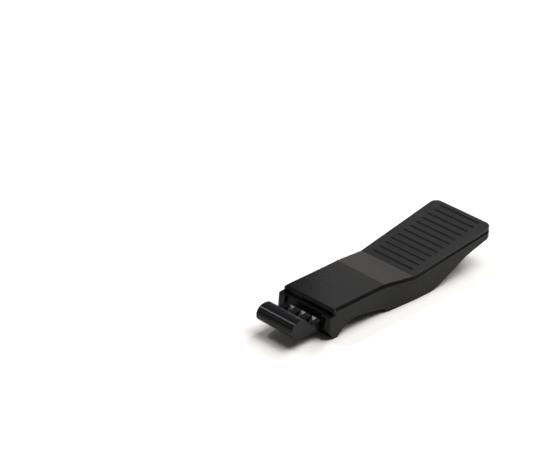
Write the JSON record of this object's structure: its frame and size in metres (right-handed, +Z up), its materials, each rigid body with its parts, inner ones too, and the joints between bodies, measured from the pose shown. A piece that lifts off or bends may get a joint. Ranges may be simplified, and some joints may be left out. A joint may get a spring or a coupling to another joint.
{
  "type": "punch down tool",
  "caption": "Small lever-type punch down tool with a grooved thumb pad, a body on a foot, and a comb head with a nose bar and a steel cutting strip.",
  "frame": {"origin": "on the resting surface, at the middle of the tool's length and width", "axes": "+X along the tool from the pushing head to the thumb end, +Y across it, +Z up, away from the resting surface"},
  "size_m": [0.038, 0.0102, 0.0059],
  "materials": {
    "body_plastic": "fine matte texture",
    "cover_plastic": "fine matte texture",
    "pad_plastic": "matte, grooved",
    "head_plastic": "semi-gloss",
    "blade_steel": "ground",
    "pin_steel": "plain",
    "screw_steel": "dark zinc"
  },
  "bodies": {
    "root": {"lower_body": "body_plastic", "top_cover": "cover_plastic", "thumb_pad": "pad_plastic", "pusher_head": "head_plastic", "cutting_blade": "blade_steel", "blade_pins": "pin_steel", "front_screws": "screw_steel", "rear_screws": "screw_steel"}
  },
  "joints": []
}
